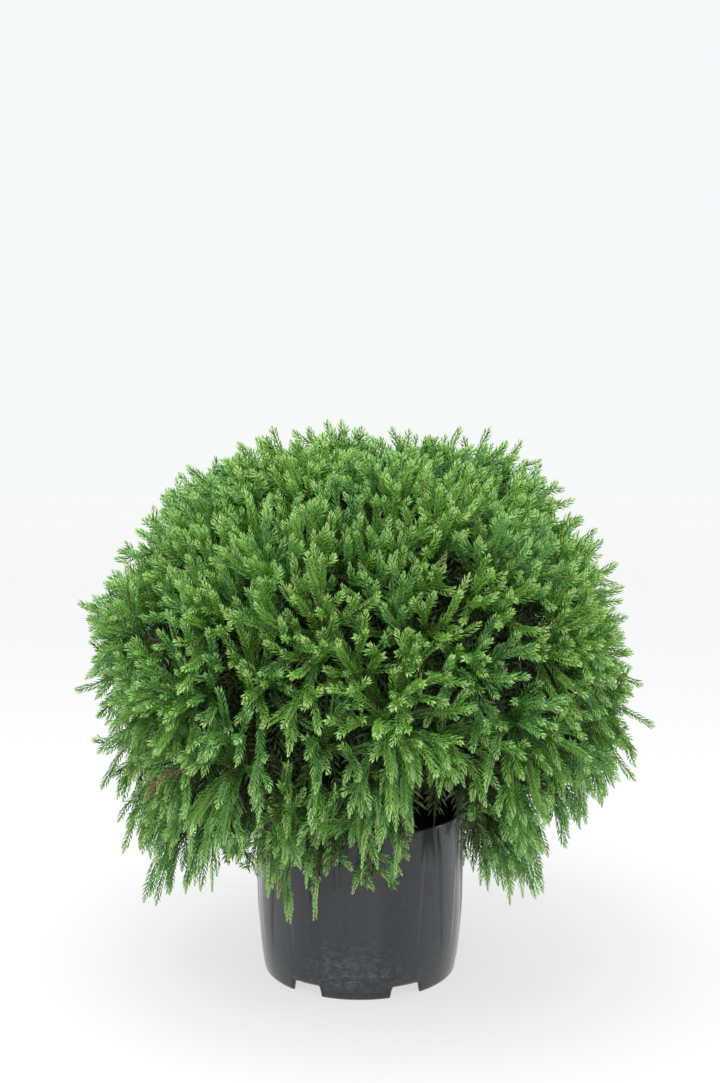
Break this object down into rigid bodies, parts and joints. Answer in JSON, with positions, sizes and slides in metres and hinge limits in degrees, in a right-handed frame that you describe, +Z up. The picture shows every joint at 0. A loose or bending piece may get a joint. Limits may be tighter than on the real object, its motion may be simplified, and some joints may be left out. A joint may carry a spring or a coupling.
{
  "type": "potted cryptomeria shrub",
  "caption": "Dwarf globe cryptomeria, a dense round evergreen shrub with hanging lower sprays, in a plain dark nursery pot.",
  "frame": {"origin": "centre of the pot's foot ring, on the ground", "axes": "+Z up along the trunk, -Y towards the viewer"},
  "size_m": [0.6702, 0.6737, 0.647],
  "materials": {
    "pot": "thin moulded plastic, dark grey, glossy, with dried water marks",
    "compost": "dark crumbly bark compost, matte",
    "bark": "reddish brown fibrous bark, matte",
    "foliage": "mid green needles with lighter yellow-green tips, slightly waxy"
  },
  "bodies": {
    "root": {"pot": "pot", "root_ball": "compost", "trunk": "bark", "bough_01": "bark", "bough_02": "bark", "bough_03": "bark", "bough_04": "bark", "bough_05": "bark", "bough_06": "bark", "bough_07": "bark", "bough_08": "bark", "bough_09": "bark", "bough_10": "bark", "bough_11": "bark", "bough_12": "bark", "bough_13": "bark", "bough_14": "bark", "bough_15": "bark", "bough_16": "bark", "bough_17": "bark", "bough_18": "bark", "bough_19": "bark", "bough_20": "bark", "bough_21": "bark", "bough_22": "bark", "foliage_01": "foliage", "foliage_02": "foliage", "foliage_03": "foliage", "foliage_04": "foliage", "foliage_05": "foliage", "foliage_06": "foliage", "foliage_07": "foliage", "foliage_08": "foliage", "foliage_09": "foliage", "foliage_10": "foliage", "foliage_11": "foliage", "foliage_12": "foliage", "foliage_13": "foliage", "foliage_14": "foliage", "foliage_15": "foliage", "foliage_16": "foliage", "foliage_17": "foliage", "foliage_18": "foliage", "foliage_19": "foliage", "foliage_20": "foliage", "foliage_21": "foliage", "foliage_22": "foliage"}
  },
  "joints": []
}
